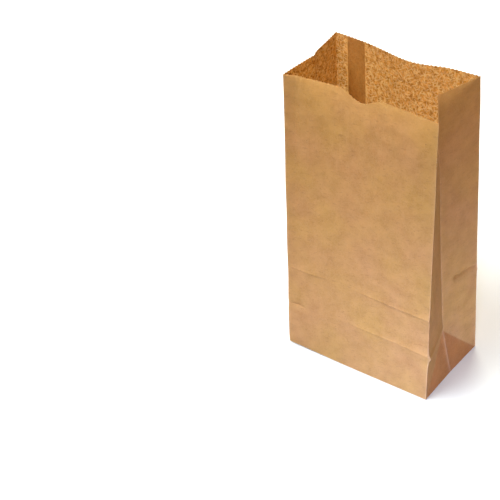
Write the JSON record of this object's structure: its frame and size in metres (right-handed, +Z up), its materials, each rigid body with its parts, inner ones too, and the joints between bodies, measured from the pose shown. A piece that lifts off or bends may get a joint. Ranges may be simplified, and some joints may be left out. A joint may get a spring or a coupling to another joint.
{
  "type": "paper lunch bag",
  "caption": "Flat-bottomed brown kraft paper bag, standing open, with folded side gussets, a toothed mouth and a thumb notch, for carrying a lunch.",
  "frame": {"origin": "centre of the bag's box at the level of its pasted bottom, where it stands", "axes": "+Z up out of the mouth, X across the two wide panels, -Y out of the front panel, which has the thumb notch"},
  "size_m": [0.1324, 0.0776, 0.246],
  "materials": {
    "kraft_paper": "unbleached kraft paper, matt, slightly fibrous"
  },
  "bodies": {
    "root": {"paper_bag": "kraft_paper"}
  },
  "joints": []
}
